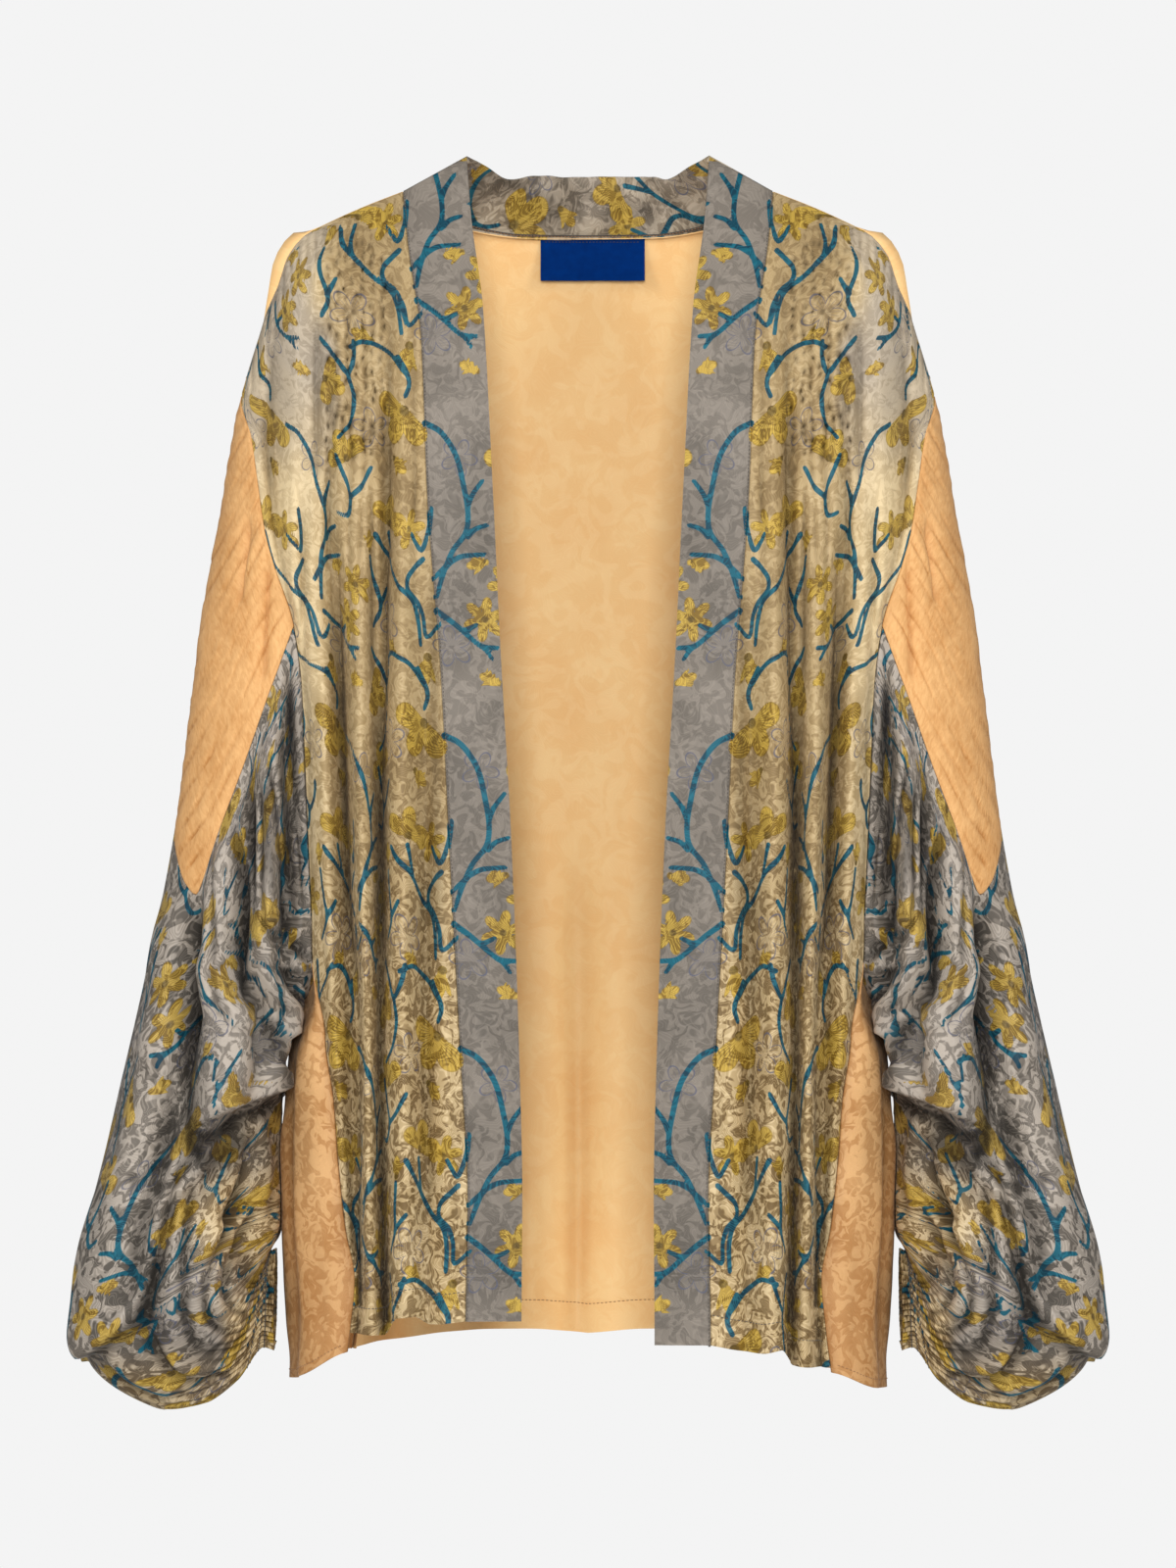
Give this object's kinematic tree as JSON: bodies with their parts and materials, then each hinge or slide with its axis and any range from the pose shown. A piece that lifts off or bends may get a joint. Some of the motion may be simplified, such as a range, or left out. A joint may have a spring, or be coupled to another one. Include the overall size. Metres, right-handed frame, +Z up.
{
  "type": "kimono jacket",
  "caption": "Open-front kimono jacket with a plain neck band, smocked printed fronts, a plain back and full sleeves gathered to shirred cuffs.",
  "frame": {"origin": "midway between the two points where the neck band crosses the shoulders, at the height of those points", "axes": "+X to the wearer's left, -Y to the front, +Z up"},
  "size_m": [0.6528, 0.1813, 0.7977],
  "materials": {
    "plain_cloth": "satin damask, apricot",
    "front_print": "satin damask, printed with flowers and vines on grey green",
    "band_print": "satin damask, printed with flowers and vines on grey",
    "sleeve_print": "satin damask, printed with flowers and vines on grey",
    "quilted_cloth": "crinkled satin in quilted ribs, apricot",
    "label_cloth": "matt woven, blue, blank"
  },
  "bodies": {
    "root": {"back_panel": "plain_cloth", "side_panel_left": "plain_cloth", "side_panel_right": "plain_cloth", "front_panel_left": "front_print", "front_panel_right": "front_print", "neck_band": "band_print", "front_band_left": "band_print", "front_band_right": "band_print", "sleeve_insert_left": "quilted_cloth", "sleeve_insert_right": "quilted_cloth", "sleeve_front_left": "sleeve_print", "sleeve_front_right": "sleeve_print", "sleeve_back_left": "sleeve_print", "sleeve_back_right": "sleeve_print", "neck_label": "label_cloth"}
  },
  "joints": []
}
